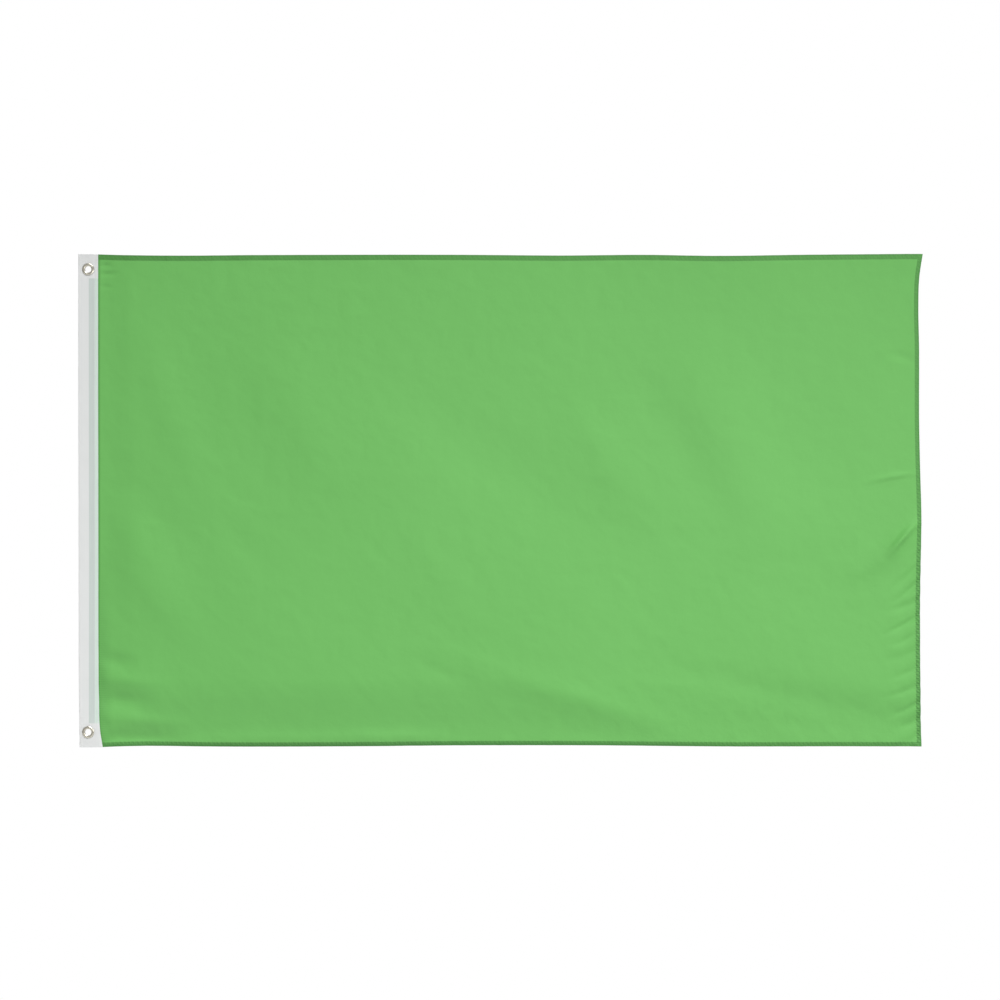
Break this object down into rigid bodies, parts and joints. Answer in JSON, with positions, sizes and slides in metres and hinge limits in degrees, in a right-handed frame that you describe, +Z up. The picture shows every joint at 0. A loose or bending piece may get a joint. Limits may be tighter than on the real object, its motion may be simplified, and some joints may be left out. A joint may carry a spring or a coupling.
{
  "type": "flag",
  "caption": "Plain rectangular cloth flag with a folded canvas heading at the hoist, metal grommets for its halyard, and turned and stitched hems.",
  "frame": {"origin": "middle of the upper grommet's eye, at half the heading's thickness", "axes": "+X from the hoist towards the fly, -Y out of the front face, +Z up along the hoist"},
  "size_m": [1.5, 0.0057, 0.877],
  "materials": {
    "panel_cloth": "smooth satin-like woven polyester, dyed through, slightly see-through",
    "heading_canvas": "matt white canvas strip, folded double",
    "panel_thread": "spun polyester sewing thread in the panel's colour",
    "heading_thread": "white spun polyester sewing thread",
    "grommet_metal": "pale plated brass, pressed and rolled, lightly polished"
  },
  "bodies": {
    "heading": {"heading_band": "heading_canvas", "panel_hoist_margin": "panel_cloth", "upper_eyelet": "grommet_metal", "upper_washer": "grommet_metal", "lower_eyelet": "grommet_metal", "lower_washer": "grommet_metal", "heading_seam_needle_thread": "heading_thread", "heading_seam_bobbin_thread": "heading_thread", "heading_inner_needle_thread": "heading_thread", "heading_inner_bobbin_thread": "heading_thread"},
    "panel_1": {"panel_strip_1": "panel_cloth", "top_hem_1_needle_thread": "panel_thread", "top_hem_1_bobbin_thread": "panel_thread", "bottom_hem_1_needle_thread": "panel_thread", "bottom_hem_1_bobbin_thread": "panel_thread"},
    "panel_2": {"panel_strip_2": "panel_cloth", "top_hem_2_needle_thread": "panel_thread", "top_hem_2_bobbin_thread": "panel_thread", "bottom_hem_2_needle_thread": "panel_thread", "bottom_hem_2_bobbin_thread": "panel_thread"},
    "panel_3": {"panel_strip_3": "panel_cloth", "top_hem_3_needle_thread": "panel_thread", "top_hem_3_bobbin_thread": "panel_thread", "bottom_hem_3_needle_thread": "panel_thread", "bottom_hem_3_bobbin_thread": "panel_thread"},
    "panel_4": {"panel_strip_4": "panel_cloth", "top_hem_4_needle_thread": "panel_thread", "top_hem_4_bobbin_thread": "panel_thread", "bottom_hem_4_needle_thread": "panel_thread", "bottom_hem_4_bobbin_thread": "panel_thread", "fly_hem_inner_needle_thread": "panel_thread", "fly_hem_inner_bobbin_thread": "panel_thread", "fly_hem_outer_needle_thread": "panel_thread", "fly_hem_outer_bobbin_thread": "panel_thread"}
  },
  "joints": [
    {"name": "hoist_seam_bend", "type": "hinge", "parent": "heading", "child": "panel_1", "pos_m": [0.01975, 0, 0], "axis": [0, 0, 1], "range_deg": [-90, 90]},
    {"name": "panel_bend_1", "type": "hinge", "parent": "panel_1", "child": "panel_2", "pos_m": [0.38538, 0, 0], "axis": [0, 0, 1], "range_deg": [-75, 75]},
    {"name": "panel_bend_2", "type": "hinge", "parent": "panel_2", "child": "panel_3", "pos_m": [0.751, 0, 0], "axis": [0, 0, 1], "range_deg": [-75, 75]},
    {"name": "panel_bend_3", "type": "hinge", "parent": "panel_3", "child": "panel_4", "pos_m": [1.11662, 0, 0], "axis": [0, 0, 1], "range_deg": [-75, 75]}
  ]
}
